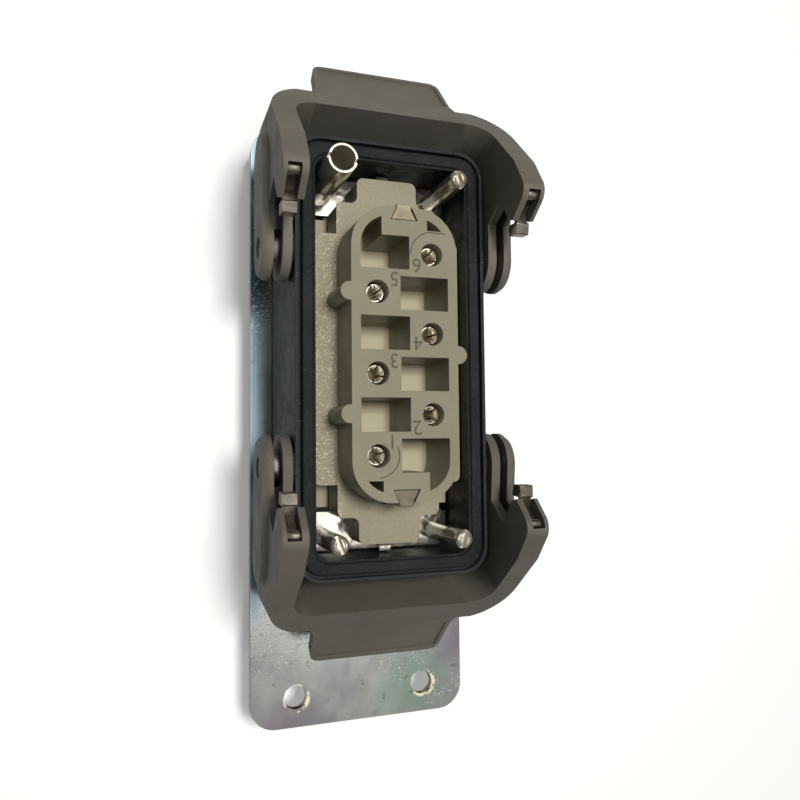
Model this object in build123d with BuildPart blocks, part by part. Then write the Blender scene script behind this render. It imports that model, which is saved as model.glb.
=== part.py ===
"""Bulkhead connector, size 16 B: die-cast housing with two locking levers, a six-pole female
insert with earth, guide pins in the corner fixings, all screwed to a zinc-plated adapter plate.

Frame: X across the connector, Y along it, Z out of the mating face. The origin is the centre
of the connector on the back face of the plate, the face that lies on the machine panel.
All sizes are in millimetres.
"""
import math
import os

from build123d import *

os.makedirs("parts", exist_ok=True)

# Adapter plate
plate_side_margin = 5.25
plate_thickness = 2.0
plate_corner = 6.0
panel_spacing_y = 130.0
plate_hole_radius = 2.75
cutout_margin = 0.6
cutout_corner = 3.0

# Flange and gasket
flange_side_inset = 0.1
flange_overhang = 11.5
flange_thickness = 4.5
flange_corner = 5.0
flange_edge_round = 0.8
gasket_thickness = 1.0

# Housing walls and rim
body_width = 43.0
body_length = 94.0
body_corner = 6.0
side_wall = 4.4
end_wall = 4.5
cavity_corner = 3.0
rim_height = 28.4
lip_width = 0.8
rim_groove_width = 0.7
rim_groove_depth = 1.4
seal_seat_depth = 2.6
seal_proud = 0.5
seal_inner_step = 0.5
seal_step_drop = 0.6
seal_round = 0.5

# Fixings of the insert in the housing
fixing_inset_x = 3.6
fixing_inset_y = 3.75
boss_radius = 4.4
thread_radius = 1.65
thread_clearance = 0.05
thread_depth = 11.0
boss_floor = 2.0

# Flange screws
screw_inset_x = 5.4
screw_inset_y = 7.0
screw_radius = 2.0
screw_head_radius = 4.1
screw_head_height = 2.6
screw_head_round = 0.65
screw_slot_width = 1.0
screw_slot_depth = 1.1
screw_slot_turn = 30.0
screw_clearance = 0.25

# Heights over the plate's back face
face_height = 38.0
shoulder_height = 26.4
earth_plate_top = 18.0
split_height = 14.0
rear_depth = 12.0
bush_tip_height = 39.9
pin_tip_height = 36.4

# Mating block of the carrier
block_width = 23.0
block_length = 61.0
block_corner = 8.5
block_wall = 1.95
rib_radius = 1.9
rib_reach = 2.2
rib_spacing_y = 24.9
pocket_depth = 14.0
pocket_inner_reach = 1.0
pocket_wall = 1.425
end_boss_half_width = 5.0
end_boss_inner = 26.0

# Contacts
contact_offset_x = 5.95
contact_step_y = 8.385
contact_rows = 3
contact_hole_radius = 2.4
contact_body_clearance = 0.08
contact_recess = 2.1
socket_outer_radius = 1.85
socket_inner_radius = 1.0
socket_mouth_radius = 1.65
socket_mouth_depth = 1.0
socket_length = 10.0
socket_depth = 9.0
socket_slit_width = 0.35
socket_slit_length = 6.0
socket_slit_turn = 25.0
clamp_size = 7.0
clamp_clearance = 0.15
chamber_floor = 3.5
wire_hole_radius = 2.1
wire_hole_depth = 9.0
wire_entry_radius = 2.6
terminal_screw_radius = 1.75
terminal_head_radius = 2.3
terminal_head_length = 3.0
terminal_head_gap = 1.0
terminal_screw_bore = 2.6
terminal_screw_rise = 1.0

# Carrier base and end tongues
base_side_clearance = 0.3
base_half_length = 27.2
base_corner = 1.5
neck_half_width = 11.6
neck_end_clearance = 1.4
tongue_half_width = 6.9
tongue_end_clearance = 2.4
tongue_corner = 1.5
rear_side_clearance = 0.5
rear_end_clearance = 1.95
post_clearance = 0.2

# Earth plates, leaves and screws
earth_thickness = 1.2
earth_side_clearance = 0.6
earth_inner_clearance = 1.0
earth_end_clearance = 0.4
earth_corner = 2.5
earth_bridge_half_width = 5.0
earth_bridge_overlap = 0.5
earth_lug_half_width = 1.4
earth_lug_height = 5.0
earth_screw_clearance = 0.4
earth_screw_radius = 2.0
earth_head_radius = 3.6
earth_head_height = 3.0
earth_wire_gap = 3.0
earth_washer_length = 8.6
earth_washer_width = 6.9
earth_washer_corner = 1.0
earth_washer_thickness = 1.2
leaf_thickness = 0.8
leaf_wide = 5.6
leaf_narrow = 3.0
leaf_inner = 28.0
leaf_sink = 0.4
leaf_clearance = 0.2

# Guide pins and bush
guide_pin_radius = 2.0
guide_tip_round = 1.2
guide_slot_width = 0.9
guide_slot_depth = 1.3
guide_slot_turn = 20.0
bush_outer_radius = 3.05
bush_inner_radius = 2.6
bush_floor = 3.0
bush_slot_depth = 1.1
bush_slot_turn = -8.0

# Slots that open outwards are cut this far past their piece
cut_overrun = 0.5

# Lever hinges
pivot_inset = 23.8
pivot_below_rim = 5.4
pivot_pin_radius = 2.2
pivot_clearance = 0.05
pivot_boss_radius = 5.2
pivot_boss_proud = 0.35
pivot_pin_seat = 3.2
pivot_end_recess = 0.4
washer_radius = 4.0
washer_side_clearance = 0.15

# Levers, seen from the side: u runs outwards from the hinge, w up
lever_side_clearance = 0.7
arm_thickness = 4.9
inner_ear_thickness = 2.0
ear_gap_width = 1.8
ear_radius = 6.8
ear_pad_length = 18.0
ear_pad_height = 1.2
ear_pad_taper = 35.0
ear_hollow_reach = 10.6
heel_u = 21.0
bar_low = (27.6, -7.2)
bar_low_outer = (31.2, -4.8)
rim_outer = (34.9, 1.5)
crease = (17.6, 19.5)
crown = (9.9, 24.6)
crown_round = 3.0
nose_top = (5.1, 18.4)
nose_low = (5.6, 16.6)
mouth_apex = (11.0, 12.7)
mouth_low = (7.4, 6.8)
bar_inner_top = (29.9, 6.6)
bar_inner_low = (26.2, -6.2)
bar_end = 35.2
bar_corner = 9.0
bar_inner_corner = 5.0
upper_open_angle = 0.0
lower_open_angle = 6.0

# Grip tab of a lever
tab_end = (44.7, -6.2)
tab_root_half_width = 15.9
tab_flare = 1.8
tab_tip_half_width = 15.2
tab_thickness = 2.6
tab_corner = 2.5
tab_rim = 1.0
tab_recess = 0.4
tab_overlap = 2.0

# Spring strip in a lever arm
slot_start = 0.6
slot_wall = 1.35
slot_width = 2.7
slot_depth = 3.2
strip_thickness = 0.7
strip_curl_radius = 1.2
strip_curl_place = 2.0
strip_bend = 7.5
strip_side_clearance = 0.15
strip_floor_clearance = 0.1
strip_tip_drop = 2.1
spring_nose_width = 2.9
spring_nose_reach = 2.6
spring_nose_drop = 3.8
spring_nose_round = 0.4
spring_nose_clearance = 0.1
spring_nose_top = 0.4
spring_nose_slope = 0.35
spring_nose_lean = 0.2

# Heights over the plate's back face that follow from the sizes above
flange_base = plate_thickness + gasket_thickness
flange_top = flange_base + flange_thickness
rim_top = plate_thickness + rim_height
earth_plate_low = earth_plate_top - earth_thickness
pivot_height = rim_top - pivot_below_rim

# Housing, flange and plate: the cavity, the screw pattern and the plate follow the body
cavity_width = body_width - 2 * side_wall
cavity_length = body_length - 2 * end_wall
flange_width = body_width - 2 * flange_side_inset
flange_length = body_length + 2 * flange_overhang
screw_spacing_x = flange_width - 2 * screw_inset_x
screw_spacing_y = flange_length - 2 * screw_inset_y
plate_width = flange_width + 2 * plate_side_margin
plate_length = panel_spacing_y + 2 * screw_inset_y
plate_upper_end = flange_length / 2
plate_hole_y = screw_spacing_y / 2 - panel_spacing_y
cutout_width = cavity_width + 2 * cutout_margin
cutout_length = cavity_length + 2 * cutout_margin
seal_outer_half = body_width / 2 - lip_width - rim_groove_width

# Insert: its fixings, base and earth parts follow the cavity
fixing_spacing_x = cavity_width - 2 * fixing_inset_x
fixing_spacing_y = cavity_length - 2 * fixing_inset_y
block_half = block_length / 2
inner_wall_y = block_half - block_wall
pocket_outer = block_width / 2 - block_wall
pocket_length = contact_step_y - pocket_wall
base_width = cavity_width - 2 * base_side_clearance
neck_end = fixing_spacing_y / 2 - bush_outer_radius - neck_end_clearance
tongue_end = cavity_length / 2 - tongue_end_clearance
rear_width = cavity_width - 2 * rear_side_clearance
rear_half_length = fixing_spacing_y / 2 - boss_radius - rear_end_clearance
earth_width = cavity_width - 2 * earth_side_clearance
earth_inner = rear_half_length + earth_inner_clearance
earth_outer = cavity_length / 2 - earth_end_clearance
earth_bridge_inner = block_half - earth_bridge_overlap
earth_screw_y = rear_half_length + earth_screw_clearance + earth_head_radius

# Levers: hinges, arms and spring slots follow the housing's sides
pivot_y = body_length / 2 - pivot_inset
arm_inner_x = body_width / 2 + lever_side_clearance
arm_outer_x = arm_inner_x + arm_thickness
ear_outer_x = arm_outer_x + ear_pad_height
ear_gap_inner_x = arm_inner_x + inner_ear_thickness
ear_gap_outer_x = ear_gap_inner_x + ear_gap_width
slot_inner_x = arm_inner_x + slot_wall
slot_outer_x = slot_inner_x + slot_width
# Cuts that clear an open side of a lever reach over its full height
cut_reach = crown[1] + ear_radius

hands = (("left", -1), ("right", 1))
ends = (("upper", 1), ("lower", -1))


def save(piece, name):
    """Label one finished piece and write it to its own file."""
    piece.label = name
    export_step(piece, f"parts/{name}.step")


def contact_places():
    """Centres of contacts 1 to 6: odd ones on the left, even ones on the right."""
    places = []
    for row in range(2 * contact_rows):
        side = -1 if row % 2 == 0 else 1
        y = (row - contact_rows + 0.5) * contact_step_y
        places.append((side, side * contact_offset_x, y))
    return places


# Adapter plate
with BuildPart() as mounting_plate:
    with BuildSketch():
        with Locations((0, plate_upper_end - plate_length / 2)):
            RectangleRounded(plate_width, plate_length, plate_corner)
        RectangleRounded(cutout_width, cutout_length, cutout_corner, mode=Mode.SUBTRACT)
        with GridLocations(screw_spacing_x, screw_spacing_y, 2, 2):
            Circle(screw_radius + thread_clearance, mode=Mode.SUBTRACT)
        with Locations((0, plate_hole_y)):
            with GridLocations(screw_spacing_x, 1, 2, 1):
                Circle(plate_hole_radius, mode=Mode.SUBTRACT)
    extrude(amount=plate_thickness)
save(mounting_plate.part, "mounting_plate")

# Gasket under the flange
with BuildPart() as flange_gasket:
    with BuildSketch(Plane.XY.offset(plate_thickness)):
        RectangleRounded(flange_width, flange_length, flange_corner)
        RectangleRounded(cutout_width, cutout_length, cutout_corner, mode=Mode.SUBTRACT)
        with GridLocations(screw_spacing_x, screw_spacing_y, 2, 2):
            Circle(screw_radius + screw_clearance, mode=Mode.SUBTRACT)
    extrude(amount=gasket_thickness)
save(flange_gasket.part, "flange_gasket")

# Housing: flange, walls with a stepped rim, bosses for the insert and the hinge pins
with BuildPart() as housing:
    with BuildSketch(Plane.XY.offset(flange_base)):
        RectangleRounded(flange_width, flange_length, flange_corner)
    extrude(amount=flange_thickness)
    fillet(housing.edges().group_by(Axis.Z)[-1], flange_edge_round)
    with BuildSketch(Plane.XY.offset(flange_base)):
        RectangleRounded(body_width, body_length, body_corner)
    extrude(amount=rim_top - flange_base)
    with BuildSketch(Plane.YZ):
        with Locations((-pivot_y, pivot_height), (pivot_y, pivot_height)):
            Circle(pivot_boss_radius)
    extrude(amount=body_width / 2 + pivot_boss_proud, both=True)
    with BuildSketch(Plane.XY.offset(flange_base)):
        RectangleRounded(cavity_width, cavity_length, cavity_corner)
    extrude(amount=rim_top - flange_base, mode=Mode.SUBTRACT)
    groove_inset = 2 * lip_width
    with BuildSketch(Plane.XY.offset(rim_top)):
        RectangleRounded(body_width - groove_inset, body_length - groove_inset, body_corner - lip_width)
    extrude(amount=-rim_groove_depth, mode=Mode.SUBTRACT)
    seat_inset = groove_inset + 2 * rim_groove_width
    with BuildSketch(Plane.XY.offset(rim_top)):
        RectangleRounded(
            body_width - seat_inset,
            body_length - seat_inset,
            body_corner - lip_width - rim_groove_width,
        )
    extrude(amount=-seal_seat_depth, mode=Mode.SUBTRACT)
    with BuildSketch(Plane.XY.offset(flange_base)):
        with GridLocations(fixing_spacing_x, fixing_spacing_y, 2, 2):
            Circle(boss_radius)
        for _, sx in hands:
            for _, sy in ends:
                with Locations(((fixing_spacing_x + cavity_width) / 4 * sx, fixing_spacing_y / 2 * sy)):
                    Rectangle((cavity_width - fixing_spacing_x) / 2, 2 * boss_radius)
                with Locations((fixing_spacing_x / 2 * sx, (fixing_spacing_y + cavity_length) / 4 * sy)):
                    Rectangle(2 * boss_radius, (cavity_length - fixing_spacing_y) / 2)
        RectangleRounded(cavity_width, cavity_length, cavity_corner, mode=Mode.INTERSECT)
    extrude(amount=earth_plate_low - flange_base)
    with Locations((0, 0, earth_plate_low)):
        with GridLocations(fixing_spacing_x, fixing_spacing_y, 2, 2):
            Hole(thread_radius + thread_clearance, depth=earth_plate_low - flange_base - boss_floor)
    with Locations((0, 0, flange_top)):
        with GridLocations(screw_spacing_x, screw_spacing_y, 2, 2):
            Hole(screw_radius + screw_clearance, depth=flange_thickness)
    for _, sx in hands:
        seat = Plane(
            origin=(sx * (body_width / 2 - pivot_pin_seat), 0, pivot_height),
            x_dir=(0, 1, 0),
            z_dir=(sx, 0, 0),
        )
        with BuildSketch(seat):
            with GridLocations(2 * pivot_y, 1, 2, 1):
                Circle(pivot_pin_radius)
        extrude(amount=2 * pivot_pin_seat, mode=Mode.SUBTRACT)
save(housing.part, "housing")

# Rubber seal on the stepped rim
seal_outer_width = 2 * seal_outer_half
seal_outer_length = seal_outer_width + body_length - body_width
seal_corner = body_corner - lip_width - rim_groove_width
seal_base = rim_top - seal_seat_depth
with BuildPart() as rim_seal:
    with BuildSketch(Plane.XY.offset(seal_base)):
        RectangleRounded(seal_outer_width, seal_outer_length, seal_corner)
        RectangleRounded(cavity_width, cavity_length, cavity_corner, mode=Mode.SUBTRACT)
    extrude(amount=seal_seat_depth + seal_proud - seal_step_drop)
    with BuildSketch(Plane.XY.offset(seal_base)):
        RectangleRounded(seal_outer_width, seal_outer_length, seal_corner)
        RectangleRounded(
            cavity_width + 2 * seal_inner_step,
            cavity_length + 2 * seal_inner_step,
            cavity_corner + seal_inner_step,
            mode=Mode.SUBTRACT,
        )
    extrude(amount=seal_seat_depth + seal_proud)
    fillet(rim_seal.edges().group_by(Axis.Z)[-1], seal_round)
save(rim_seal.part, "rim_seal")

# Four flange screws, cut off flush with the back of the plate
with BuildPart() as flange_screws:
    with BuildSketch():
        with GridLocations(screw_spacing_x, screw_spacing_y, 2, 2):
            Circle(screw_radius)
    extrude(amount=flange_top)
    with BuildSketch(Plane.XY.offset(flange_top)):
        with GridLocations(screw_spacing_x, screw_spacing_y, 2, 2):
            Circle(screw_head_radius)
    extrude(amount=screw_head_height)
    fillet(flange_screws.edges().group_by(Axis.Z)[-1], screw_head_round)
    with BuildSketch(Plane.XY.offset(flange_top + screw_head_height)):
        with GridLocations(screw_spacing_x, screw_spacing_y, 2, 2):
            Rectangle(2 * screw_head_radius, screw_slot_width, rotation=screw_slot_turn)
    extrude(amount=-screw_slot_depth, mode=Mode.SUBTRACT)
save(flange_screws.part, "flange_screws")

# Plan of the pockets: across from the contacts, the end ones open into the rounded ends
with BuildSketch() as pocket_plan:
    for side, x, y in contact_places():
        reach = pocket_outer + pocket_inner_reach
        with Locations((-side * (pocket_outer - pocket_inner_reach) / 2, y)):
            Rectangle(reach, pocket_length)
    corner_width = pocket_outer - end_boss_half_width
    corner_x = (pocket_outer + end_boss_half_width) / 2
    last_contact_y = (contact_rows - 0.5) * contact_step_y
    for _, sy in ends:
        with Locations((-sy * corner_x, sy * (last_contact_y + inner_wall_y) / 2)):
            Rectangle(corner_width, inner_wall_y - last_contact_y)
        with Locations((sy * corner_x, sy * (end_boss_inner + inner_wall_y) / 2)):
            Rectangle(corner_width, inner_wall_y - end_boss_inner)
    RectangleRounded(2 * pocket_outer, 2 * inner_wall_y, block_corner - block_wall, mode=Mode.INTERSECT)

# Plan of what runs through the carrier: the contact holes and the earth leaves' channels
with BuildSketch() as through_plan:
    with Locations([(x, y) for _, x, y in contact_places()]):
        Circle(contact_hole_radius)
    for _, sy in ends:
        with Locations((0, sy * (block_half + leaf_thickness / 2))):
            Rectangle(leaf_narrow + 2 * leaf_clearance, leaf_thickness + 2 * leaf_clearance)

# The carrier is one moulding, made here as two pieces that meet at its shoulder.
# Its base: a slab with an end tongue at each end and the foot of each pocket
with BuildPart() as carrier_base:
    with BuildSketch(Plane.XY.offset(split_height)):
        RectangleRounded(base_width, 2 * base_half_length, base_corner)
    extrude(amount=shoulder_height - split_height)
    with BuildSketch(Plane.XY.offset(earth_plate_top)) as tongues:
        Rectangle(2 * neck_half_width, 2 * neck_end)
        Rectangle(2 * tongue_half_width, 2 * tongue_end)
        fillet(tongues.vertices(), tongue_corner)
    extrude(amount=shoulder_height - earth_plate_top)
    with BuildSketch(Plane.XY.offset(shoulder_height)):
        add(pocket_plan.sketch)
    extrude(amount=face_height - pocket_depth - shoulder_height, mode=Mode.SUBTRACT)
    with BuildSketch(Plane.XY.offset(split_height)):
        add(through_plan.sketch)
    extrude(amount=shoulder_height - split_height, mode=Mode.SUBTRACT)
save(carrier_base.part, "carrier_base")

# Its mating block, with a trapezoid seat for an earth leaf at each end of the face
leaf_floor = face_height - leaf_sink - leaf_thickness
with BuildPart() as carrier_block:
    with BuildSketch(Plane.XY.offset(shoulder_height)):
        RectangleRounded(block_width, block_length, block_corner)
        rib_x = block_width / 2 + rib_reach - rib_radius
        with Locations((-rib_x, -rib_spacing_y / 2), (-rib_x, rib_spacing_y / 2), (rib_x, 0)):
            Circle(rib_radius)
        add(pocket_plan.sketch, mode=Mode.SUBTRACT)
        add(through_plan.sketch, mode=Mode.SUBTRACT)
    extrude(amount=face_height - shoulder_height)
    with BuildSketch(Plane.XY.offset(face_height)):
        for _, sy in ends:
            wide = leaf_wide / 2 + leaf_clearance
            narrow = leaf_narrow / 2 + leaf_clearance
            inner_y = sy * (leaf_inner - leaf_clearance)
            outer_y = sy * block_half
            Polygon((-wide, inner_y), (wide, inner_y), (narrow, outer_y), (-narrow, outer_y), align=None)
    extrude(amount=leaf_floor - face_height, mode=Mode.SUBTRACT)
save(carrier_block.part, "carrier_block")

# Rear insulator with six clamp chambers, wire entries below and screw bores in its long sides
clamp_low = -rear_depth + chamber_floor
screw_level = clamp_low + clamp_size / 2 + terminal_screw_rise
with BuildPart() as terminal_body:
    with BuildSketch(Plane.XY.offset(-rear_depth)):
        RectangleRounded(rear_width, 2 * rear_half_length, base_corner)
    extrude(amount=split_height + rear_depth)
    post_inner_x = neck_half_width + post_clearance
    post_inner_y = base_half_length + post_clearance
    with BuildSketch(Plane.XY.offset(split_height)):
        for _, sx in hands:
            for _, sy in ends:
                post_x = sx * (post_inner_x + rear_width / 2) / 2
                post_y = sy * (post_inner_y + rear_half_length) / 2
                with Locations((post_x, post_y)):
                    Rectangle(rear_width / 2 - post_inner_x, rear_half_length - post_inner_y)
    extrude(amount=earth_plate_top - split_height)
    with BuildSketch(Plane.XY.offset(split_height)):
        with Locations([(x, y) for _, x, y in contact_places()]):
            Rectangle(clamp_size + 2 * clamp_clearance, clamp_size + 2 * clamp_clearance)
    extrude(amount=clamp_low - split_height, mode=Mode.SUBTRACT)
    with BuildSketch(Plane.XY.offset(-rear_depth)):
        with Locations([(x, y) for _, x, y in contact_places()]):
            Circle(wire_entry_radius)
    extrude(amount=chamber_floor, mode=Mode.SUBTRACT)
    for side, x, y in contact_places():
        flank = Plane(origin=(side * rear_width / 2, y, screw_level), x_dir=(0, 1, 0), z_dir=(side, 0, 0))
        with BuildSketch(flank):
            Circle(terminal_screw_bore)
        extrude(amount=-(rear_width / 2 - contact_offset_x), mode=Mode.SUBTRACT)
save(terminal_body.part, "terminal_body")

# Six female contacts: slotted socket, round body and a square clamp for the wire
socket_top = face_height - contact_recess
socket_base = socket_top - socket_length
for number, (side, x, y) in enumerate(contact_places(), start=1):
    with BuildPart() as female_contact:
        with BuildSketch(Plane.XY.offset(socket_base)):
            with Locations((x, y)):
                Circle(socket_outer_radius)
        extrude(amount=socket_length)
        with BuildSketch(Plane.XY.offset(split_height)):
            with Locations((x, y)):
                Circle(contact_hole_radius - contact_body_clearance)
        extrude(amount=socket_base - split_height)
        with BuildSketch(Plane.XY.offset(clamp_low)):
            with Locations((x, y)):
                Rectangle(clamp_size, clamp_size)
        extrude(amount=split_height - clamp_low)
        with Locations((x, y, socket_top)):
            Hole(socket_inner_radius, depth=socket_depth)
        with Locations((x, y, socket_top - socket_mouth_depth / 2)):
            Cone(socket_inner_radius, socket_mouth_radius, socket_mouth_depth, mode=Mode.SUBTRACT)
        slit_length = 2 * (socket_outer_radius + cut_overrun)
        slit_angle = number * socket_slit_turn
        with BuildSketch(Plane.XY.offset(socket_top)):
            with Locations((x, y)):
                Rectangle(slit_length, socket_slit_width, rotation=slit_angle)
                Rectangle(socket_slit_width, slit_length, rotation=slit_angle)
        extrude(amount=-socket_slit_length, mode=Mode.SUBTRACT)
        with BuildSketch(Plane.XY.offset(clamp_low)):
            with Locations((x, y)):
                Circle(wire_hole_radius)
        extrude(amount=wire_hole_depth, mode=Mode.SUBTRACT)
        flank = Plane(origin=(x, y, screw_level), x_dir=(0, 1, 0), z_dir=(side, 0, 0))
        with BuildSketch(flank):
            Circle(terminal_screw_radius + thread_clearance)
        extrude(amount=clamp_size, mode=Mode.SUBTRACT)
    save(female_contact.part, f"female_contact_{number}")

# Clamp screws of the six terminals
with BuildPart() as terminal_screws:
    for side, x, y in contact_places():
        tip_x = x + side * wire_hole_radius
        tip = Plane(origin=(tip_x, y, screw_level), x_dir=(0, 1, 0), z_dir=(side, 0, 0))
        shank_length = clamp_size / 2 - wire_hole_radius + clamp_clearance + terminal_head_gap
        with BuildSketch(tip):
            Circle(terminal_screw_radius)
        extrude(amount=shank_length)
        with BuildSketch(tip.offset(shank_length)):
            Circle(terminal_head_radius)
        extrude(amount=terminal_head_length)
        with BuildSketch(tip.offset(shank_length + terminal_head_length)):
            Rectangle(2 * terminal_head_radius, screw_slot_width)
        extrude(amount=-screw_slot_depth, mode=Mode.SUBTRACT)
save(terminal_screws.part, "terminal_screws")

# Earth parts at both ends
for end_name, sy in ends:
    # Folded plate under the tongue, with a lug turned up at its outer edge
    with BuildPart() as earth_plate:
        with BuildSketch(Plane.XY.offset(earth_plate_low)):
            with Locations((0, sy * (earth_inner + earth_outer) / 2)):
                RectangleRounded(earth_width, earth_outer - earth_inner, earth_corner)
            with Locations((0, sy * (earth_bridge_inner + earth_outer) / 2)):
                Rectangle(2 * earth_bridge_half_width, earth_outer - earth_bridge_inner)
            with Locations((0, sy * fixing_spacing_y / 2)):
                with GridLocations(fixing_spacing_x, 1, 2, 1):
                    Circle(thread_radius + thread_clearance, mode=Mode.SUBTRACT)
            with Locations((0, sy * earth_screw_y)):
                Circle(earth_screw_radius + thread_clearance, mode=Mode.SUBTRACT)
        extrude(amount=earth_thickness)
        with BuildSketch(Plane.XY.offset(earth_plate_low)):
            with Locations((0, sy * (earth_outer - earth_thickness / 2))):
                Rectangle(2 * earth_lug_half_width, earth_thickness)
        extrude(amount=earth_thickness + earth_lug_height)
    save(earth_plate.part, f"earth_plate_{end_name}")

    # Contact leaf: trapezoid in the face, then a strip down the end wall to the plate
    with BuildPart() as earth_leaf:
        with BuildSketch(Plane.XY.offset(leaf_floor)):
            half_wide = leaf_wide / 2
            half_narrow = leaf_narrow / 2
            Polygon(
                (-half_wide, sy * leaf_inner),
                (half_wide, sy * leaf_inner),
                (half_narrow, sy * block_half),
                (-half_narrow, sy * block_half),
                align=None,
            )
            with Locations((0, sy * (block_half + leaf_thickness / 2))):
                Rectangle(leaf_narrow, leaf_thickness)
        extrude(amount=leaf_thickness)
        with BuildSketch(Plane.XY.offset(earth_plate_top)):
            with Locations((0, sy * (block_half + leaf_thickness / 2))):
                Rectangle(leaf_narrow, leaf_thickness)
        extrude(amount=leaf_floor - earth_plate_top)
    save(earth_leaf.part, f"earth_leaf_{end_name}")

    # Earth screw behind the plate, its head towards the rear, and its clamp washer
    washer_low = earth_plate_low - earth_wire_gap - earth_washer_thickness
    with BuildPart() as earth_screw:
        with BuildSketch(Plane.XY.offset(washer_low)):
            with Locations((0, sy * earth_screw_y)):
                Circle(earth_screw_radius)
        extrude(amount=earth_plate_top - washer_low)
        with BuildSketch(Plane.XY.offset(washer_low)):
            with Locations((0, sy * earth_screw_y)):
                Circle(earth_head_radius)
        extrude(amount=-earth_head_height)
        with BuildSketch(Plane.XY.offset(washer_low - earth_head_height)):
            with Locations((0, sy * earth_screw_y)):
                Rectangle(2 * earth_head_radius, screw_slot_width)
        extrude(amount=screw_slot_depth, mode=Mode.SUBTRACT)
    save(earth_screw.part, f"earth_screw_{end_name}")
    with BuildPart() as earth_washer:
        with BuildSketch(Plane.XY.offset(washer_low)):
            with Locations((0, sy * earth_screw_y)):
                RectangleRounded(earth_washer_length, earth_washer_width, earth_washer_corner)
                Circle(earth_screw_radius + thread_clearance, mode=Mode.SUBTRACT)
        extrude(amount=earth_washer_thickness)
    save(earth_washer.part, f"earth_washer_{end_name}")


# Guide pins in three corner fixings
for end_name, sy in ends:
    for hand_name, sx in hands:
        if end_name == "upper" and hand_name == "left":
            continue
        pin_x = sx * fixing_spacing_x / 2
        pin_y = sy * fixing_spacing_y / 2
        with BuildPart() as guide_pin:
            with BuildSketch(Plane.XY.offset(earth_plate_top)):
                with Locations((pin_x, pin_y)):
                    Circle(guide_pin_radius)
            extrude(amount=pin_tip_height - earth_plate_top)
            fillet(guide_pin.edges().group_by(Axis.Z)[-1], guide_tip_round)
            with BuildSketch(Plane.XY.offset(pin_tip_height)):
                with Locations((pin_x, pin_y)):
                    Rectangle(guide_slot_width, 2 * guide_pin_radius, rotation=guide_slot_turn * sx * sy)
            extrude(amount=-guide_slot_depth, mode=Mode.SUBTRACT)
            with BuildSketch(Plane.XY.offset(earth_plate_top - thread_depth)):
                with Locations((pin_x, pin_y)):
                    Circle(thread_radius)
            extrude(amount=thread_depth)
        save(guide_pin.part, f"guide_pin_{end_name}_{hand_name}")

# Guide bush in the upper left fixing
bush_x = -fixing_spacing_x / 2
bush_y = fixing_spacing_y / 2
with BuildPart() as guide_bush:
    with BuildSketch(Plane.XY.offset(earth_plate_top)):
        with Locations((bush_x, bush_y)):
            Circle(bush_outer_radius)
    extrude(amount=bush_tip_height - earth_plate_top)
    with Locations((bush_x, bush_y, bush_tip_height)):
        Hole(bush_inner_radius, depth=bush_tip_height - earth_plate_top - bush_floor)
    with BuildSketch(Plane.XY.offset(bush_tip_height)):
        with Locations((bush_x, bush_y)):
            Rectangle(2 * (bush_outer_radius + cut_overrun), guide_slot_width, rotation=bush_slot_turn)
    extrude(amount=-bush_slot_depth, mode=Mode.SUBTRACT)
    with BuildSketch(Plane.XY.offset(earth_plate_top - thread_depth)):
        with Locations((bush_x, bush_y)):
            Circle(thread_radius)
    extrude(amount=thread_depth)
save(guide_bush.part, "guide_bush")

# Hinge pins and the washers between the two ears of each arm
for end_name, sy in ends:
    for hand_name, sx in hands:
        seat_x = sx * (body_width / 2 - pivot_pin_seat)
        seat = Plane(origin=(seat_x, sy * pivot_y, pivot_height), x_dir=(0, 1, 0), z_dir=(sx, 0, 0))
        with BuildPart() as pivot_pin:
            with BuildSketch(seat):
                Circle(pivot_pin_radius)
            extrude(amount=ear_outer_x - pivot_end_recess - abs(seat_x))
        save(pivot_pin.part, f"pivot_pin_{end_name}_{hand_name}")
        washer_x = sx * (ear_gap_inner_x + washer_side_clearance)
        face = Plane(origin=(washer_x, sy * pivot_y, pivot_height), x_dir=(0, 1, 0), z_dir=(sx, 0, 0))
        with BuildPart() as pivot_washer:
            with BuildSketch(face):
                Circle(washer_radius)
                Circle(pivot_pin_radius + pivot_clearance, mode=Mode.SUBTRACT)
            extrude(amount=ear_gap_outer_x - ear_gap_inner_x - 2 * washer_side_clearance)
        save(pivot_washer.part, f"pivot_washer_{end_name}_{hand_name}")


def lever_plane(sy, open_angle):
    """Side view of a lever: x of the plane is u, y of the plane is w, turned down as it opens."""
    turn = math.radians(open_angle)
    return Plane(
        origin=(0, sy * pivot_y, pivot_height),
        x_dir=(0, sy * math.cos(turn), -math.sin(turn)),
        z_dir=(sy, 0, 0),
    )


def on_nose_face(along_step, inward_step):
    """A point of the side view: steps from the crown along the nose face, and into the arm."""
    run_u = nose_top[0] - crown[0]
    run_w = nose_top[1] - crown[1]
    run = math.hypot(run_u, run_w)
    along = (run_u / run, run_w / run)
    inward = (-along[1], along[0])
    return (
        crown[0] + along[0] * along_step + inward[0] * inward_step,
        crown[1] + along[1] * along_step + inward[1] * inward_step,
    )


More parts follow.
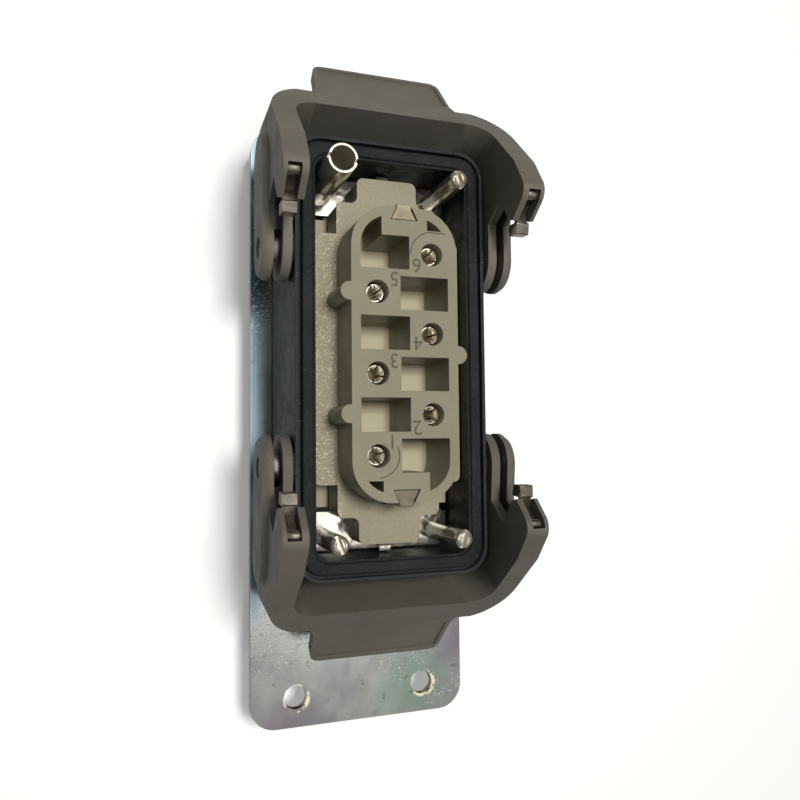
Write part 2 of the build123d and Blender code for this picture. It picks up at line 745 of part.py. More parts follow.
def make_lever(sy, open_angle):
    """One locking lever: two forked arms with a hook, a cross bar and a grip tab."""
    side_view = lever_plane(sy, open_angle)
    with BuildPart() as lever:
        with BuildSketch(side_view) as profile:
            with BuildLine():
                Polyline(
                    (0, -ear_radius),
                    (heel_u, -ear_radius),
                    bar_low,
                    bar_low_outer,
                    rim_outer,
                    crease,
                    crown,
                    nose_top,
                    nose_low,
                    mouth_apex,
                    mouth_low,
                    (0, ear_radius),
                )
                CenterArc((0, 0), ear_radius, 90, 180)
            make_face()
            for point in (crown, crease, (heel_u, -ear_radius)):
                fillet(profile.vertices().sort_by_distance(Vector(*point, 0))[0], crown_round)
        extrude(amount=arm_outer_x, both=True)
        # Round the two outer corners of the bar, seen from above
        plan_view = Plane(origin=side_view.origin, x_dir=side_view.z_dir, z_dir=side_view.y_dir)
        plan_length = 2 * (bar_end + ear_radius + bar_corner)
        with BuildSketch(plan_view):
            with Locations((0, bar_end - plan_length / 2)):
                RectangleRounded(2 * arm_outer_x, plan_length, bar_corner)
        extrude(amount=plan_length, both=True, mode=Mode.INTERSECT)
        # Clear the space between the arms
        lean = (bar_inner_top[0] - bar_inner_low[0]) / (bar_inner_top[1] - bar_inner_low[1])
        low_w = bar_inner_low[1] - cut_reach
        high_w = bar_inner_top[1] + cut_reach
        with BuildSketch(side_view):
            Polygon(
                (-cut_reach, low_w),
                (bar_inner_low[0] - lean * cut_reach, low_w),
                (bar_inner_top[0] + lean * cut_reach, high_w),
                (-cut_reach, high_w),
                align=None,
            )
        extrude(amount=arm_inner_x, both=True, mode=Mode.SUBTRACT)
        middle_u = (bar_inner_top[0] + bar_inner_low[0]) / 2
        middle_w = (bar_inner_top[1] + bar_inner_low[1]) / 2
        for hand in (-1, 1):
            spot = side_view.from_local_coords(Vector(middle_u, middle_w, hand * arm_inner_x))
            fillet(lever.edges().sort_by_distance(spot)[0], bar_inner_corner)
        for hand in (-1, 1):
            # Raised pad of the outer ear
            with BuildSketch(side_view.offset(hand * arm_outer_x)):
                with Locations((ear_pad_length / 2, 0)):
                    SlotCenterToCenter(ear_pad_length, 2 * ear_radius)
            extrude(amount=hand * (ear_outer_x - arm_outer_x), taper=ear_pad_taper)
            # Gap between the two ears
            with BuildSketch(side_view.offset(hand * ear_gap_inner_x)):
                with Locations(((ear_hollow_reach - cut_reach) / 2, (mouth_apex[1] - cut_reach) / 2)):
                    Rectangle(ear_hollow_reach + cut_reach, mouth_apex[1] + cut_reach)
            extrude(amount=hand * (ear_gap_outer_x - ear_gap_inner_x), mode=Mode.SUBTRACT)
            # Slot of the spring strip, open at the nose
            with BuildSketch(side_view.offset(hand * slot_inner_x)):
                Polygon(
                    on_nose_face(slot_start, -slot_depth),
                    on_nose_face(slot_start, slot_depth),
                    on_nose_face(cut_reach, slot_depth),
                    on_nose_face(cut_reach, -slot_depth),
                    align=None,
                )
                with Locations((0, mouth_low[1] - cut_reach)):
                    Rectangle(2 * cut_reach, 2 * cut_reach, mode=Mode.SUBTRACT)
            extrude(amount=hand * (slot_outer_x - slot_inner_x), mode=Mode.SUBTRACT)
        # Hinge bores
        with BuildSketch(side_view):
            Circle(pivot_pin_radius + pivot_clearance)
        extrude(amount=2 * arm_outer_x, both=True, mode=Mode.SUBTRACT)
        # Grip tab
        run_u = tab_end[0] - rim_outer[0]
        run_w = tab_end[1] - rim_outer[1]
        tab_length = math.hypot(run_u, run_w)
        tab_up = side_view.x_dir * (-run_w / tab_length) + side_view.y_dir * (run_u / tab_length)
        tab_plane = Plane(
            origin=side_view.from_local_coords(Vector(rim_outer[0], rim_outer[1], 0)),
            x_dir=side_view.z_dir,
            z_dir=tab_up,
        )
        with BuildSketch(tab_plane) as tab_outline:
            Polygon(
                (-tab_root_half_width - tab_flare, -tab_overlap),
                (tab_root_half_width + tab_flare, -tab_overlap),
                (tab_root_half_width, tab_flare),
                (tab_tip_half_width, tab_length),
                (-tab_tip_half_width, tab_length),
                (-tab_root_half_width, tab_flare),
                align=None,
            )
            fillet(tab_outline.vertices().group_by(Axis.Y)[-1], tab_corner)
        extrude(amount=-tab_thickness)
        with BuildSketch(tab_plane) as tab_panel:
            Polygon(
                (-tab_root_half_width + tab_rim, tab_flare),
                (tab_root_half_width - tab_rim, tab_flare),
                (tab_tip_half_width - tab_rim, tab_length - tab_rim),
                (-tab_tip_half_width + tab_rim, tab_length - tab_rim),
                align=None,
            )
            fillet(tab_panel.vertices().group_by(Axis.Y)[-1], tab_corner - tab_rim)
        extrude(amount=-tab_recess, mode=Mode.SUBTRACT)
    return lever.part


def make_spring(sy, open_angle, hand):
    """Stainless strip in the slot of one arm: curled at its back end, with a folded square nose."""
    side_view = lever_plane(sy, open_angle)
    nose_side = (spring_nose_width - (slot_outer_x - slot_inner_x)) / 2
    floor = slot_depth - strip_floor_clearance
    curl_start = slot_start + strip_curl_place
    nose_face = nose_top[0] - spring_nose_clearance
    nose_back = nose_face - spring_nose_reach
    nose_high = nose_top[1] - spring_nose_top
    nose_deep = nose_top[1] - spring_nose_drop
    with BuildPart() as spring:
        with BuildSketch(side_view.offset(hand * (slot_inner_x + strip_side_clearance))):
            with Locations(on_nose_face(curl_start, floor - strip_curl_radius)):
                Circle(strip_curl_radius)
                Circle(strip_curl_radius - strip_thickness, mode=Mode.SUBTRACT)
            Polygon(
                on_nose_face(curl_start, floor),
                on_nose_face(curl_start, floor - strip_thickness),
                on_nose_face(strip_bend, floor - strip_thickness),
                (nose_face - strip_thickness, nose_top[1] - strip_thickness),
                (nose_face - strip_thickness, nose_top[1] - strip_tip_drop),
                on_nose_face(strip_bend, floor),
                align=None,
            )
        extrude(amount=hand * (slot_outer_x - slot_inner_x - 2 * strip_side_clearance))
        with BuildSketch(side_view.offset(hand * (slot_inner_x - nose_side))) as nose:
            Polygon(
                (nose_face, nose_high),
                (nose_back, nose_high - spring_nose_slope),
                (nose_back + spring_nose_lean, nose_deep),
                (nose_face, nose_deep - spring_nose_slope),
                align=None,
            )
            fillet(nose.vertices(), spring_nose_round)
        extrude(amount=hand * spring_nose_width)
    return spring.part


for end_name, sy in ends:
    open_angle = upper_open_angle if end_name == "upper" else lower_open_angle
    save(make_lever(sy, open_angle), f"{end_name}_lever")
    for hand_name, sx in hands:
        save(make_spring(sy, open_angle, sx * sy), f"lock_spring_{end_name}_{hand_name}")
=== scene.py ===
import math

import bpy
from mathutils import Euler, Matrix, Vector


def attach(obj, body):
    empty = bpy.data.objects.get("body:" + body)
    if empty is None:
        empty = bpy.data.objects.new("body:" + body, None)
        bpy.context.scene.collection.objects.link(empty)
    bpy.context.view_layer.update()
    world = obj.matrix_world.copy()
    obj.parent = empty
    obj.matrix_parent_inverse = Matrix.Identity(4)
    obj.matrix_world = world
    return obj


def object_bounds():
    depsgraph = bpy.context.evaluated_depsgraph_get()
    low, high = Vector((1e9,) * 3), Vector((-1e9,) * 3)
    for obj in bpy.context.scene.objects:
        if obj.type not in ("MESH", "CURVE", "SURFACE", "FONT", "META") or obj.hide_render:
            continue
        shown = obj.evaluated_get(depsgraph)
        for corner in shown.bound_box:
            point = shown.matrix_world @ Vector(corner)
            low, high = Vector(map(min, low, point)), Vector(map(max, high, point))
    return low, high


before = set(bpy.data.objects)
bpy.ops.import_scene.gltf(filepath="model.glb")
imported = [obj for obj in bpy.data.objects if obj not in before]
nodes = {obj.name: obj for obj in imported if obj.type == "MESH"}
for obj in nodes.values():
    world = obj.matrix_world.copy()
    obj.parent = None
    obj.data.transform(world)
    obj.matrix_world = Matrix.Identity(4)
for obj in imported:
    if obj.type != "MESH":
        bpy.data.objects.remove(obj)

# Lengths and places are in metres, in the part's frame: the mounting plate's back is z = 0 and the
# insert faces +z. The scales of noises and cells count grains in a metre.

start_box = [list(map(float, corner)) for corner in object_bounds()]

# Levels of the front insulator
face_z = 0.038
pocket_floor_z = 0.024


# Helpers for node trees

class Nodes:
    """Small helper round one node tree."""

    def __init__(self, tree, space):
        self.tree = tree
        self.position = tree.nodes.new("ShaderNodeTexCoord").outputs[space]

    def link(self, a, b):
        self.tree.links.new(a, b)

    def feed(self, socket, value):
        """Set a number or a colour on the socket, or link an output to it."""
        if isinstance(value, (int, float)):
            socket.default_value = value
        elif isinstance(value, tuple):
            socket.default_value = (*value, 1.0)
        else:
            self.link(value, socket)

    def scaled(self, stretch=(1, 1, 1), turn=(0, 0, 0)):
        """The position with a scale per axis, turned by angles in radians."""
        node = self.tree.nodes.new("ShaderNodeMapping")
        node.inputs["Scale"].default_value = stretch
        node.inputs["Rotation"].default_value = turn
        self.link(self.position, node.inputs["Vector"])
        return node.outputs["Vector"]

    def noise(self, scale, detail, rough=0.55, stretch=(1, 1, 1), distortion=0.0):
        node = self.tree.nodes.new("ShaderNodeTexNoise")
        node.inputs["Scale"].default_value = scale
        node.inputs["Detail"].default_value = detail
        node.inputs["Roughness"].default_value = rough
        node.inputs["Distortion"].default_value = distortion
        self.link(self.scaled(stretch), node.inputs["Vector"])
        return node.outputs["Fac"]

    def cells(self, scale, stretch, turn, feature="F1"):
        """Distance to the nearest cell point, or to the nearest cell border."""
        node = self.tree.nodes.new("ShaderNodeTexVoronoi")
        node.feature = feature
        node.inputs["Scale"].default_value = scale
        self.link(self.scaled(stretch, turn), node.inputs["Vector"])
        return node.outputs["Distance"]

    def span(self, value, reach, to=(0.0, 1.0), smooth=False):
        """Map the value from its reach to another one, held at both ends."""
        node = self.tree.nodes.new("ShaderNodeMapRange")
        if smooth:
            node.interpolation_type = "SMOOTHSTEP"
        node.inputs["From Min"].default_value, node.inputs["From Max"].default_value = reach
        node.inputs["To Min"].default_value, node.inputs["To Max"].default_value = to
        self.link(value, node.inputs["Value"])
        return node.outputs["Result"]

    def calc(self, operation, a, b=0.0):
        node = self.tree.nodes.new("ShaderNodeMath")
        node.operation = operation
        self.feed(node.inputs[0], a)
        self.feed(node.inputs[1], b)
        return node.outputs["Value"]

    def times(self, a, b):
        return self.calc("MULTIPLY", a, b)

    def most(self, a, b):
        return self.calc("MAXIMUM", a, b)

    def ramp(self, value, stops):
        node = self.tree.nodes.new("ShaderNodeValToRGB")
        while len(node.color_ramp.elements) < len(stops):
            node.color_ramp.elements.new(0.5)
        for element, (place, colour) in zip(node.color_ramp.elements, stops):
            element.position = place
            element.color = (*colour, 1.0)
        self.link(value, node.inputs["Fac"])
        return node.outputs["Color"]

    def mix(self, share, a, b):
        """Blend of two colours: a where the share is 0, b where it is 1."""
        node = self.tree.nodes.new("ShaderNodeMix")
        node.data_type = "RGBA"
        self.feed(node.inputs["Factor"], share)
        first, second = [socket for socket in node.inputs if socket.type == "RGBA"]
        self.feed(first, a)
        self.feed(second, b)
        return next(socket for socket in node.outputs if socket.type == "RGBA")

    def place(self, axis):
        """Position along one axis."""
        node = self.tree.nodes.new("ShaderNodeSeparateXYZ")
        self.link(self.position, node.inputs["Vector"])
        return node.outputs[axis]

    def near(self, centre, inner, outer):
        """1 within the inner distance of a point in plan, 0 beyond the outer one."""
        node = self.tree.nodes.new("ShaderNodeVectorMath")
        node.operation = "DISTANCE"
        self.link(self.scaled((1, 1, 0)), node.inputs[0])
        node.inputs[1].default_value = (*centre, 0)
        return self.span(node.outputs["Value"], (inner, outer), (1.0, 0.0))

    def towards(self, direction):
        """Cosine of the angle between the position and a direction."""
        node = self.tree.nodes.new("ShaderNodeVectorMath")
        node.operation = "DOT_PRODUCT"
        self.link(self.position, node.inputs[0])
        node.inputs[1].default_value = Vector(direction).normalized()
        return node.outputs["Value"]

    def ray(self, kind):
        return self.tree.nodes.new("ShaderNodeLightPath").outputs[kind]


class Look(Nodes):
    """One material, in the object's own coordinates."""

    def __init__(self, name):
        self.mat = bpy.data.materials.new(name)
        self.mat.use_nodes = True
        super().__init__(self.mat.node_tree, "Object")
        self.bsdf = self.tree.nodes["Principled BSDF"]
        self.normal = None

    def colour(self, output):
        self.link(output, self.bsdf.inputs["Base Color"])

    def rough(self, output):
        self.link(output, self.bsdf.inputs["Roughness"])

    def bump(self, height, strength, distance):
        """Add one bump on top of those that the material has."""
        node = self.tree.nodes.new("ShaderNodeBump")
        node.inputs["Strength"].default_value = strength
        node.inputs["Distance"].default_value = distance
        self.link(height, node.inputs["Height"])
        if self.normal is not None:
            self.link(self.normal, node.inputs["Normal"])
        self.normal = node.outputs["Normal"]
        self.link(self.normal, self.bsdf.inputs["Normal"])

    def set(self, **values):
        for name, value in values.items():
            self.bsdf.inputs[name.replace("_", " ")].default_value = value


def shade(colour, factor):
    return tuple(min(1.0, factor * part) for part in colour)


# Materials

def plastic(name, dark, mid, light, roughness, grain, speck, scuff, painted_glints=0.0, lit_floor_height=None):
    """Moulded plastic: broad tone drift, fine grain, small specks, light scuffs.

    Painted glints are small bright grains at the left side; faces at the floor height are painted
    paler, as a pool of light.
    """
    s = Look(name)
    drift = s.noise(scale=45, detail=5, rough=0.6)
    tone = s.ramp(drift, [(0.25, dark), (0.5, mid), (0.78, light)])
    specks = s.span(s.noise(scale=1400, detail=2, rough=0.5), (0.3, 0.7), (0.0, speck))
    tone = s.mix(specks, tone, shade(mid, 0.55))
    borders = s.cells(260, (1, 9, 3), (0.3, 0.2, 0.6), "DISTANCE_TO_EDGE")
    scratches = s.span(borders, (0.0, 0.02), (1.0, 0.0))
    worn = s.span(s.noise(scale=70, detail=3), (0.55, 0.7))
    tone = s.mix(s.times(s.times(scratches, worn), scuff), tone, shade(light, 1.7))
    # Painted light: faces at the pocket floor height are made paler
    if lit_floor_height:
        off_floor = s.calc("ABSOLUTE", s.calc("SUBTRACT", s.place("Z"), lit_floor_height))
        painted_floor_light = s.span(off_floor, (0.0003, 0.0006), (1.0, 0.0))
        tone = s.mix(painted_floor_light, tone, shade(mid, 1.5))
    # Painted highlights: small bright glints, on the left side only
    if painted_glints:
        glint_grains = s.span(s.noise(scale=2600, detail=1), (0.56, 0.68))
        left_side = s.span(s.place("X"), (-0.0098, -0.011))
        tone = s.mix(s.times(s.times(glint_grains, left_side), painted_glints), tone, shade(light, 2.3))
    s.colour(tone)
    s.rough(s.span(s.noise(scale=160, detail=4), (0.3, 0.7), (roughness - 0.07, roughness + 0.1)))
    s.bump(s.noise(grain, detail=3, rough=0.6), strength=0.35, distance=0.00006)
    s.bump(drift, strength=0.12, distance=0.0004)
    return s


def metal(name, dark, mid, light, roughness, brush=(1, 1, 1), brush_scale=900, dirt=0.25,
          metallic=1.0, waves=0.0):
    """Plated or turned metal: tone drift, brushing, dull patches and a little grime."""
    s = Look(name)
    s.set(Metallic=metallic)
    drift = s.noise(scale=120, detail=4, distortion=0.4)
    tone = s.ramp(drift, [(0.28, dark), (0.5, mid), (0.72, light)])
    lines = s.noise(brush_scale, detail=3, rough=0.6, stretch=brush)
    tone = s.mix(s.span(lines, (0.45, 0.75), (0.0, 0.12)), tone, dark)
    grime = s.span(s.noise(scale=260, detail=4, rough=0.6), (0.6, 0.78))
    tone = s.mix(s.times(grime, dirt), tone, shade(dark, 0.35))
    s.colour(tone)
    s.rough(s.span(s.noise(scale=300, detail=5, rough=0.65, stretch=brush), (0.3, 0.7), roughness))
    s.bump(lines, strength=0.12, distance=0.00002)
    if waves:
        s.bump(s.noise(scale=170, detail=2), strength=waves, distance=0.0006)
    return s


def zinc():
    """Zinc plating with a chromate sheen: grey with tints, pits, bright flecks with painted glints,
    and a painted reflection strip.
    """
    green_spot = (0.016, -0.0785)
    violet_right = (0.031, -0.068)
    violet_left = (-0.02, -0.089)
    scratched_spot = (-0.019, -0.064)
    left_hole = (-0.0157, -0.0789)
    right_hole = (0.0164, -0.0787)

    s = Look("zinc_look")
    drift = s.noise(scale=28, detail=3, rough=0.5, stretch=(1.3, 0.8, 1), distortion=0.8)
    sheen = s.ramp(drift, [
        (0.28, (0.3, 0.29, 0.295)),
        (0.42, (0.36, 0.35, 0.34)),
        (0.52, (0.4, 0.405, 0.36)),
        (0.62, (0.33, 0.42, 0.37)),
        (0.74, (0.3, 0.37, 0.42)),
    ])
    cloud = s.noise(scale=85, detail=4, rough=0.65, stretch=(1, 0.6, 1), distortion=0.6)
    sheen = s.mix(s.span(cloud, (0.4, 0.68), (0.0, 0.55)), sheen, (0.52, 0.53, 0.5))
    green = s.times(s.near(green_spot, 0.003, 0.0125), s.span(drift, (0.3, 0.6), (0.35, 0.8)))
    sheen = s.mix(green, sheen, (0.24, 0.4, 0.3))
    violet = s.most(s.near(violet_right, 0.004, 0.012), s.near(violet_left, 0.002, 0.011))
    sheen = s.mix(s.times(violet, 0.7), sheen, (0.27, 0.2, 0.27))

    # Painted reflection: a blue strip along the left edge, palest in its outer band, a painted
    # highlight
    reflection_strip = s.times(s.span(s.place("X"), (-0.0225, -0.0255)), s.span(s.place("Y"), (-0.062, -0.052)))
    sheen = s.mix(s.times(reflection_strip, 0.85), sheen, (0.33, 0.5, 0.61))
    highlight_band = s.times(reflection_strip, s.span(s.place("X"), (-0.0262, -0.0268)))
    sheen = s.mix(s.times(highlight_band, 0.8), sheen, (0.62, 0.8, 0.84))

    # Scratched flecks and hairs in patches, painted bright as glints; painted glints on the rims of
    # the two free holes; dark pits
    patchy = s.span(s.noise(scale=30, detail=2), (0.46, 0.62))
    scratched = s.most(patchy, s.near(scratched_spot, 0.005, 0.013))
    points = s.span(s.cells(900, (1, 2.2, 1), (0, 0, 0.6)), (0.14, 0.28), (1.0, 0.0))
    flecks = s.times(points, s.span(s.noise(scale=420, detail=1), (0.47, 0.56)))
    borders = s.cells(150, (1, 12, 1), (0, 0, 0.9), "DISTANCE_TO_EDGE")
    hairs = s.span(borders, (0.0, 0.01), (1.0, 0.0))
    scratches_and_glints = s.times(s.most(flecks, s.times(hairs, 0.4)), scratched)
    rims = s.most(s.near(left_hole, 0.0031, 0.0034), s.near(right_hole, 0.0031, 0.0035))
    painted_glints = s.times(rims, s.span(s.noise(scale=330, detail=2), (0.48, 0.56)))
    sheen = s.mix(scratches_and_glints, sheen, (0.9, 0.9, 0.85))
    sheen = s.mix(painted_glints, sheen, (0.92, 0.84, 0.6))
    pits = s.span(s.noise(scale=420, detail=3), (0.64, 0.72))
    sheen = s.mix(s.times(pits, 0.45), sheen, (0.1, 0.1, 0.1))
    s.colour(sheen)

    bright = s.most(scratches_and_glints, painted_glints)
    # Painted light: the strip turns matt towards the bottom, so it shows lighter there and darker at
    # the top
    lit_lower_strip = s.times(reflection_strip, s.span(s.place("Y"), (0.016, -0.012), (0.1, 0.75)))
    matt = s.most(s.times(bright, 0.75), lit_lower_strip)
    s.link(s.calc("SUBTRACT", 1.0, matt), s.bsdf.inputs["Metallic"])
    s.rough(s.calc("ADD", s.span(cloud, (0.3, 0.7), (0.12, 0.24)), s.times(bright, 0.2)))
    s.bump(s.noise(scale=500, detail=4, rough=0.6), strength=0.1, distance=0.00005)
    s.bump(bright, strength=0.4, distance=0.00005)
    return s


def coated():
    """Black textured powder coat with dust, and painted glints in patches and over the left wall."""
    s = Look("coating_look")
    drift = s.noise(scale=60, detail=5)
    tone = s.ramp(drift, [
        (0.3, (0.015, 0.015, 0.016)),
        (0.55, (0.026, 0.026, 0.027)),
        (0.8, (0.042, 0.041, 0.041)),
    ])
    dust = s.span(s.noise(scale=900, detail=3, rough=0.7), (0.62, 0.78))
    tone = s.mix(s.times(dust, 0.35), tone, (0.14, 0.135, 0.13))
    # Painted highlights: glints in patches and over the whole left wall
    left_wall = s.span(s.place("X"), (-0.019, -0.0215))
    glint_patches = s.most(s.span(s.noise(scale=90, detail=2), (0.4, 0.6)), left_wall)
    painted_glints = s.times(s.span(s.noise(scale=2600, detail=1), (0.68, 0.78)), glint_patches)
    tone = s.mix(s.times(painted_glints, 0.5), tone, (0.42, 0.41, 0.36))
    s.colour(tone)
    s.rough(s.span(s.noise(scale=350, detail=4), (0.3, 0.7), (0.38, 0.6)))
    s.set(Specular_IOR_Level=0.35)
    s.bump(s.noise(scale=1100, detail=3, rough=0.6), strength=0.7, distance=0.00018)
    return s


def rubber(name, dark, light, roughness, grain, strength):
    """Black rubber with tone drift, pale dust and a grainy skin."""
    s = Look(name)
    tone = s.ramp(s.noise(scale=120, detail=5), [(0.3, dark), (0.7, light)])
    dust = s.span(s.noise(scale=1300, detail=4, rough=0.7), (0.6, 0.74))
    tone = s.mix(s.times(dust, 0.3), tone, (0.2, 0.195, 0.185))
    s.colour(tone)
    s.rough(s.span(s.noise(scale=500, detail=4), (0.3, 0.7), (roughness - 0.1, roughness + 0.12)))
    s.set(Specular_IOR_Level=0.2)
    s.bump(s.noise(grain, detail=4, rough=0.65), strength, distance=0.00022)
    return s


lever_look = plastic(
    "lever_look", dark=(0.115, 0.107, 0.09), mid=(0.14, 0.131, 0.111), light=(0.165, 0.155, 0.132),
    roughness=0.45, grain=2600, speck=0.16, scuff=0.3)
# The lower lever is the same plastic as the upper lever; its darker tones are painted shade
shaded_lower_lever_look = plastic(
    "shaded_lower_lever_look", dark=(0.098, 0.091, 0.077), mid=(0.12, 0.112, 0.095),
    light=(0.142, 0.133, 0.114), roughness=0.45, grain=2600, speck=0.16, scuff=0.3)
base_look = plastic(
    "base_look", dark=(0.26, 0.24, 0.168), mid=(0.3, 0.278, 0.197), light=(0.35, 0.325, 0.235),
    roughness=0.42, grain=1500, speck=0.3, scuff=0.3, painted_glints=0.45, lit_floor_height=pocket_floor_z)
block_look = plastic(
    "block_look", dark=(0.2, 0.186, 0.128), mid=(0.235, 0.22, 0.152), light=(0.27, 0.252, 0.178),
    roughness=0.4, grain=2200, speck=0.12, scuff=0.22)
rear_look = plastic(
    "rear_look", dark=(0.28, 0.26, 0.185), mid=(0.33, 0.305, 0.222), light=(0.37, 0.34, 0.25),
    roughness=0.48, grain=2000, speck=0.14, scuff=0.2)
zinc_look = zinc()
coating_look = coated()
seal_look = rubber(
    "seal_look", dark=(0.011, 0.011, 0.0115), light=(0.023, 0.0225, 0.0225),
    roughness=0.4, grain=800, strength=1.0)
gasket_look = rubber(
    "gasket_look", dark=(0.016, 0.016, 0.017), light=(0.028, 0.028, 0.03),
    roughness=0.7, grain=1200, strength=0.4)
nickel_look = metal(
    "nickel_look", dark=(0.55, 0.51, 0.42), mid=(0.72, 0.68, 0.58), light=(0.88, 0.85, 0.76),
    roughness=(0.12, 0.24), waves=0.6)
guide_look = metal(
    "guide_look", dark=(0.46, 0.43, 0.33), mid=(0.64, 0.6, 0.49), light=(0.82, 0.79, 0.7),
    roughness=(0.1, 0.24), brush=(0.1, 0.1, 6), brush_scale=1500, dirt=0.15, metallic=0.8, waves=0.3)
screw_look = metal(
    "screw_look", dark=(0.42, 0.43, 0.42), mid=(0.56, 0.57, 0.56), light=(0.7, 0.7, 0.68),
    roughness=(0.25, 0.45))
hinge_look = metal(
    "hinge_look", dark=(0.3, 0.28, 0.25), mid=(0.46, 0.43, 0.39), light=(0.6, 0.57, 0.52),
    roughness=(0.22, 0.4))
spring_look = metal(
    "spring_look", dark=(0.14, 0.12, 0.095), mid=(0.28, 0.25, 0.205), light=(0.52, 0.48, 0.41),
    roughness=(0.14, 0.3), brush=(1, 5, 5), metallic=0.92)
contact_look = metal(
    "contact_look", dark=(0.62, 0.55, 0.41), mid=(0.82, 0.76, 0.6), light=(0.94, 0.9, 0.77),
    roughness=(0.1, 0.2), dirt=0.05, metallic=0.85, waves=0.5)
leaf_look = metal(
    "leaf_look", dark=(0.17, 0.145, 0.095), mid=(0.27, 0.235, 0.16), light=(0.4, 0.355, 0.25),
    roughness=(0.22, 0.36), waves=0.3)

# Look of each node, by its name or by how its name starts
looks = {
    "mounting_plate": zinc_look,
    "flange_gasket": gasket_look,
    "housing": coating_look,
    "rim_seal": seal_look,
    "flange_screws": screw_look,
    "carrier_base": base_look,
    "carrier_block": block_look,
    "terminal_body": rear_look,
    "terminal_screws": screw_look,
    "guide_bush": guide_look,
    "upper_lever": lever_look,
    "lower_lever": shaded_lower_lever_look,
}
looks_by_start = {
    "female_contact": contact_look,
    "earth_plate": nickel_look,
    "earth_leaf": leaf_look,
    "earth_screw": screw_look,
    "earth_washer": screw_look,
    "guide_pin": guide_look,
    "pivot_pin": hinge_look,
    "pivot_washer": hinge_look,
    "lock_spring": spring_look,
}

# Rounding of each node's edges
bevels = {
    "mounting_plate": 0.0003,
    "housing": 0.0003,
    "carrier_base": 0.00008,
    "carrier_block": 0.00045,
    "upper_lever": 0.0008,
    "lower_lever": 0.0008,
    "terminal_body": 0.0003,
    "rim_seal": 0.0002,
    "flange_gasket": 0.0001,
}
other_bevel = 0.00012
bevel_segments = 3
bevelled_angle = math.radians(35)
flat_angle = math.radians(0.4)
weld_distance = 0.000002

for name, obj in nodes.items():
    look = looks.get(name) or next(v for k, v in looks_by_start.items() if name.startswith(k))
    obj.data.materials.clear()
    obj.data.materials.append(look.mat)
    weld = obj.modifiers.new("weld", "WELD")
    weld.merge_threshold = weld_distance
    flat = obj.modifiers.new("flat", "DECIMATE")
    flat.decimate_type = "DISSOLVE"
    flat.angle_limit = flat_angle
    bevel = obj.modifiers.new("bevel", "BEVEL")
    bevel.width = bevels.get(name, other_bevel)
    bevel.segments = bevel_segments
    bevel.limit_method = "ANGLE"
    bevel.angle_limit = bevelled_angle
    bevel.harden_normals = True

# Numbers, and thin dark lines painted as the shadows of steps, on the block's face

# One dark ink colours the printed numbers and the painted step shadows
ink_and_shadow = Look("ink_and_shadow_look")
ink_and_shadow.colour(ink_and_shadow.ramp(ink_and_shadow.noise(scale=900, detail=3), [
    (0.3, (0.075, 0.068, 0.046)),
    (0.7, (0.11, 0.102, 0.072)),
]))
ink_and_shadow.rough(ink_and_shadow.span(ink_and_shadow.noise(scale=1200, detail=2), (0.3, 0.7), (0.4, 0.6)))

number_places = {
    1: (-0.0031, -0.0179),
    2: (0.0024, -0.0151),
    3: (-0.0025, -0.0014),
    4: (0.0027, 0.0023),
    5: (-0.00235, 0.0155),
    6: (0.0026, 0.0186),
}
number_size = 0.0043
number_thickness = 0.00002
number_lift = 0.00001
line_radius = 0.00011


def add_to_block(name, curve, place=(0, 0, 0), turn=0.0):
    """Add a curve to the insulator, turned about z."""
    curve.materials.append(ink_and_shadow.mat)
    obj = bpy.data.objects.new(name, curve)
    obj.location = place
    obj.rotation_euler = (0, 0, turn)
    bpy.context.scene.collection.objects.link(obj)
    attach(obj, "connector")


def face_line(name, points):
    curve = bpy.data.curves.new(name, "CURVE")
    curve.dimensions = "3D"
    curve.bevel_depth = line_radius
    curve.bevel_resolution = 2
    spline = curve.splines.new("POLY")
    spline.points.add(len(points) - 1)
    for point, (x, y) in zip(spline.points, points):
        point.co = (x, y, face_z, 1)
    add_to_block(name, curve)


def arc(centre, radius, first, last, steps=18):
    """Points of an arc, its angles in degrees."""
    angles = [math.radians(first + (last - first) * i / steps) for i in range(steps + 1)]
    return [(centre[0] + radius * math.cos(a), centre[1] + radius * math.sin(a)) for a in angles]


for number, (x, y) in number_places.items():
    text = bpy.data.curves.new(f"number_{number}", "FONT")
    text.body = str(number)
    text.size = number_size
    text.extrude = number_thickness
    text.align_x = "CENTER"
    text.align_y = "CENTER"
    add_to_block(f"number_{number}", text, (x, y, face_z + number_lift), math.pi)

# Painted shadows of steps in the face: dark lines round contact 6, where one ends in a straight
# part, and round contact 1
contact_6 = (0.00595, 0.02096)
contact_1 = (-0.00595, -0.02096)
straight_part = [(0.0049, 0.02565), (0.0091, 0.02565)]
face_line("painted_step_shadow_upper", arc(contact_6, 0.0046, 180, 112) + straight_part)
face_line("painted_step_shadow_lower", arc(contact_1, 0.0044, 26, -90))

# Floor: pale paper for the camera, a darker grey for the other rays

floor_size = 6
floor_gap = 0.0001
floor_look = Look("floor_look")
seen = floor_look.ray("Is Camera Ray")
paper = floor_look.ramp(floor_look.noise(scale=3, detail=2), [
    (0.3, (0.75, 0.75, 0.75)),
    (0.7, (0.77, 0.77, 0.77)),
])
floor_look.colour(floor_look.mix(seen, (0.45, 0.45, 0.44), paper))
floor_look.set(Roughness=0.9, Specular_IOR_Level=0.0, Emission_Color=(1, 1, 1, 1))

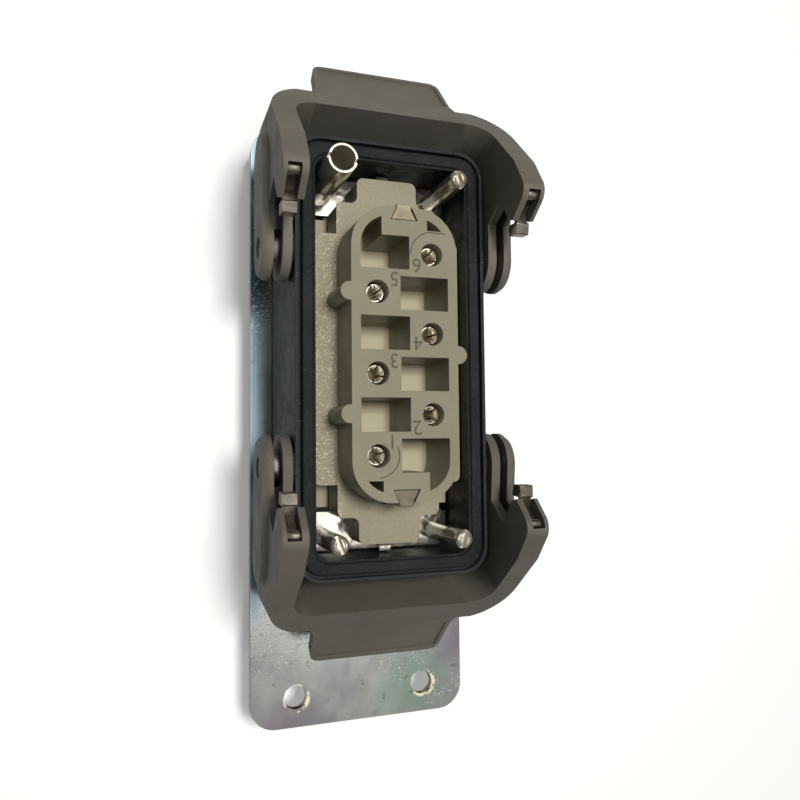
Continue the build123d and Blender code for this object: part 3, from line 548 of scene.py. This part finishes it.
# The camera sees it lifted towards white, more so far away, with no lift below the object, which
# paints a shadow there
near_lift = 0.3
far_lift = 0.85
close_by = floor_look.near((0, 0), 0.3, 1.0)
lift = floor_look.calc("SUBTRACT", far_lift, floor_look.times(close_by, far_lift - near_lift))
outside_painted_shadow = floor_look.most(*(
    floor_look.span(floor_look.calc("ABSOLUTE", floor_look.place(axis)), reach)
    for axis, reach in (("X", (0.008, 0.03)), ("Y", (0.046, 0.072)))))
seen_lift = floor_look.times(floor_look.times(seen, outside_painted_shadow), lift)
floor_look.link(seen_lift, floor_look.bsdf.inputs["Emission Strength"])
bpy.ops.mesh.primitive_plane_add(size=floor_size, location=(0, 0, start_box[0][2] - floor_gap))
floor = bpy.context.object
floor.name = "floor"
floor.data.materials.append(floor_look.mat)

# Room: a dim even light for the shading, a gradient with soft bright patches for the reflections,
# and a pale backdrop for the camera

room_tone = (0.15, 0.148, 0.142)
backdrop_tone = (0.95, 0.95, 0.95)
patches = [
    # direction, radius and soft edge in degrees, brightness
    ((0.3, 0.44, 1.0), 7, 17, 1.6),
    ((0.22, -0.14, 1.0), 4, 9, 1.4),
    ((0.28, -0.38, 1.0), 10, 24, 0.3),
    ((0.26, 0.2, 1.0), 4, 9, 1.2),
    ((-0.35, 0.45, 0.8), 5, 11, 3.5),
    ((-0.72, 0.05, 0.72), 9, 18, 1.6),
    ((0.8, -0.1, 0.6), 6, 14, 2.0),
]
world = bpy.data.worlds.new("studio")
bpy.context.scene.world = world
world.use_nodes = True
room = Nodes(world.node_tree, "Generated")
glow = room.span(room.place("Z"), (0.1, 1.0), (0.04, 0.4))
for direction, radius, soft_edge, brightness in patches:
    edge = [math.cos(math.radians(angle)) for angle in (soft_edge, radius)]
    patch = room.span(room.towards(direction), edge, (0.0, brightness), smooth=True)
    glow = room.calc("ADD", glow, patch)
lit = room.mix(room.ray("Is Glossy Ray"), room_tone, glow)
backdrop = room.mix(room.ray("Is Camera Ray"), lit, backdrop_tone)
room.link(backdrop, room.tree.nodes["Background"].inputs["Color"])

# Key light, which reflections don't see

key_place = Vector((0.02, 0.06, 0.64))
key_target = Vector((0, 0, 0.02))
lamp = bpy.data.lights.new("key", "AREA")
lamp.shape = "RECTANGLE"
lamp.size, lamp.size_y = 0.12, 0.14
lamp.energy = 3.8
lamp.color = (1.0, 0.985, 0.955)
key_light = bpy.data.objects.new("key", lamp)
key_light.location = key_place
key_light.rotation_euler = (key_target - key_place).to_track_quat("-Z", "Y").to_euler()
key_light.visible_glossy = False
bpy.context.scene.collection.objects.link(key_light)

# Camera, fitted to the photograph. The fit gives how the part is turned to the camera, so the
# camera's own turn is the inverse

part_turn = Euler((-0.061, 0.333, -0.010), "XYZ")
lens = bpy.data.cameras.new("camera")
lens.lens = 33.71
lens.sensor_width = 36
lens.clip_start = 0.005
camera = bpy.data.objects.new("camera", lens)
camera.location = (-0.05136, -0.01841, 0.18225)
camera.rotation_euler = part_turn.to_matrix().transposed().to_euler()
bpy.context.scene.collection.objects.link(camera)
bpy.context.scene.camera = camera
bpy.context.scene.view_settings.view_transform = "Standard"
